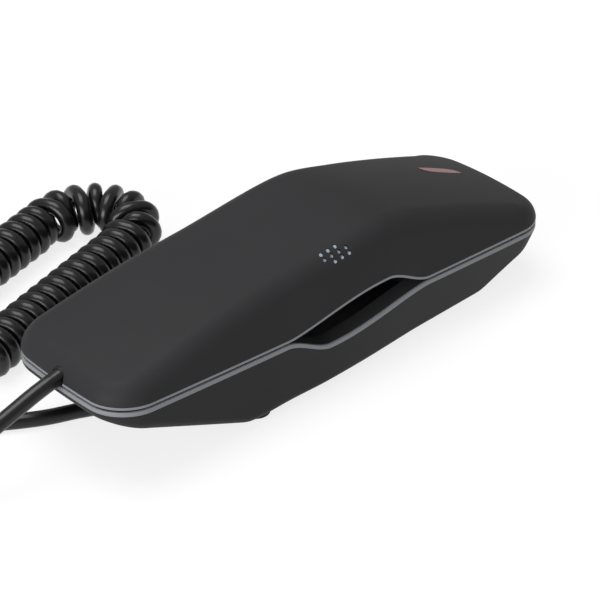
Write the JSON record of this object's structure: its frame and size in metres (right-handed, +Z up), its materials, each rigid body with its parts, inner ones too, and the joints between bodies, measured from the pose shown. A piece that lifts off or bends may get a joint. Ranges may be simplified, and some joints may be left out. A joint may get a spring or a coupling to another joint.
{
  "type": "corded hotel telephone",
  "caption": "One-piece corded telephone: a black handset with its keypad in the grey inner face, lying on a boat-shaped base, with a curly cord.",
  "frame": {"origin": "on the table under the middle of the phone, cord left aside", "axes": "+X along the phone to the ear end, +Y to the side the cord lies on, +Z up"},
  "size_m": [0.2634, 0.1626, 0.0559],
  "materials": {
    "shell_black": "fine texture",
    "well_black": "plain",
    "face_grey": "satin",
    "key_black": "satin",
    "volume_red": "gloss",
    "lamp_red": "gloss",
    "cord_black": "semi gloss",
    "soft_black": "matt",
    "mat_rubber": "matt",
    "steel": "plain",
    "board_green": "lacquered",
    "jack_clear": "gloss",
    "switch_grey": "plain",
    "can_metal": "plain",
    "ringer_brass": "plain",
    "cloth_pale": "woven",
    "led_pale": "gloss"
  },
  "bodies": {
    "base": {"base_shell": "shell_black", "base_trim": "face_grey", "cradle": "well_black", "base_feet": "soft_black", "base_screws": "steel", "ballast": "steel", "base_board": "board_green", "line_jack": "jack_clear", "base_gland": "soft_black", "cord_handset_lead": "cord_black", "cord_coil": "cord_black", "cord_base_lead": "cord_black"},
    "handset": {"handset_shell": "shell_black", "handset_face": "face_grey", "lamp_lens": "lamp_red", "handset_gland": "soft_black", "earpiece_gasket": "soft_black", "keypad_mat": "mat_rubber", "handset_screws": "steel", "keypad_board": "board_green", "switch_board": "board_green", "volume_switch": "switch_grey", "hook_switch": "switch_grey", "earpiece": "can_metal", "microphone": "can_metal", "ringer": "ringer_brass", "ringer_cloth": "cloth_pale", "lamp_led": "led_pale"},
    "key_1": {"key_1": "key_black"},
    "key_2": {"key_2": "key_black"},
    "key_3": {"key_3": "key_black"},
    "key_4": {"key_4": "key_black"},
    "key_5": {"key_5": "key_black"},
    "key_6": {"key_6": "key_black"},
    "key_7": {"key_7": "key_black"},
    "key_8": {"key_8": "key_black"},
    "key_9": {"key_9": "key_black"},
    "key_star": {"key_star": "key_black"},
    "key_0": {"key_0": "key_black"},
    "key_hash": {"key_hash": "key_black"},
    "key_hold": {"key_hold": "key_black"},
    "key_flash": {"key_flash": "key_black"},
    "key_redial": {"key_redial": "key_black"},
    "volume_key": {"volume_key": "volume_red"},
    "hook_plunger": {"hook_plunger": "face_grey"}
  },
  "joints": [
    {"name": "handset_lift", "type": "slide", "parent": "base", "child": "handset", "axis": [0.0436, 0, 0.999], "range_m": [0, 0.06]},
    {"name": "key_1_press", "type": "slide", "parent": "handset", "child": "key_1", "axis": [0.0436, 0, 0.999], "range_m": [0, 0.0008], "stiffness_N_per_m": 500},
    {"name": "key_2_press", "type": "slide", "parent": "handset", "child": "key_2", "axis": [0.0436, 0, 0.999], "range_m": [0, 0.0008], "stiffness_N_per_m": 500},
    {"name": "key_3_press", "type": "slide", "parent": "handset", "child": "key_3", "axis": [0.0436, 0, 0.999], "range_m": [0, 0.0008], "stiffness_N_per_m": 500},
    {"name": "key_4_press", "type": "slide", "parent": "handset", "child": "key_4", "axis": [0.0436, 0, 0.999], "range_m": [0, 0.0008], "stiffness_N_per_m": 500},
    {"name": "key_5_press", "type": "slide", "parent": "handset", "child": "key_5", "axis": [0.0436, 0, 0.999], "range_m": [0, 0.0008], "stiffness_N_per_m": 500},
    {"name": "key_6_press", "type": "slide", "parent": "handset", "child": "key_6", "axis": [0.0436, 0, 0.999], "range_m": [0, 0.0008], "stiffness_N_per_m": 500},
    {"name": "key_7_press", "type": "slide", "parent": "handset", "child": "key_7", "axis": [0.0436, 0, 0.999], "range_m": [0, 0.0008], "stiffness_N_per_m": 500},
    {"name": "key_8_press", "type": "slide", "parent": "handset", "child": "key_8", "axis": [0.0436, 0, 0.999], "range_m": [0, 0.0008], "stiffness_N_per_m": 500},
    {"name": "key_9_press", "type": "slide", "parent": "handset", "child": "key_9", "axis": [0.0436, 0, 0.999], "range_m": [0, 0.0008], "stiffness_N_per_m": 500},
    {"name": "key_star_press", "type": "slide", "parent": "handset", "child": "key_star", "axis": [0.0436, 0, 0.999], "range_m": [0, 0.0008], "stiffness_N_per_m": 500},
    {"name": "key_0_press", "type": "slide", "parent": "handset", "child": "key_0", "axis": [0.0436, 0, 0.999], "range_m": [0, 0.0008], "stiffness_N_per_m": 500},
    {"name": "key_hash_press", "type": "slide", "parent": "handset", "child": "key_hash", "axis": [0.0436, 0, 0.999], "range_m": [0, 0.0008], "stiffness_N_per_m": 500},
    {"name": "key_hold_press", "type": "slide", "parent": "handset", "child": "key_hold", "axis": [0.0436, 0, 0.999], "range_m": [0, 0.0008], "stiffness_N_per_m": 500},
    {"name": "key_flash_press", "type": "slide", "parent": "handset", "child": "key_flash", "axis": [0.0436, 0, 0.999], "range_m": [0, 0.0008], "stiffness_N_per_m": 500},
    {"name": "key_redial_press", "type": "slide", "parent": "handset", "child": "key_redial", "axis": [0.0436, 0, 0.999], "range_m": [0, 0.0008], "stiffness_N_per_m": 500},
    {"name": "volume_key_press", "type": "slide", "parent": "handset", "child": "volume_key", "axis": [0.0436, 0, 0.999], "range_m": [0, 0.0008], "stiffness_N_per_m": 500},
    {"name": "hook_release", "type": "slide", "parent": "handset", "child": "hook_plunger", "axis": [-0.0436, 0, -0.999], "range_m": [0, 0.002]}
  ],
  "couplings": [
    {"joint": "hook_release", "follows": "handset_lift", "ratio": 0.033333}
  ]
}
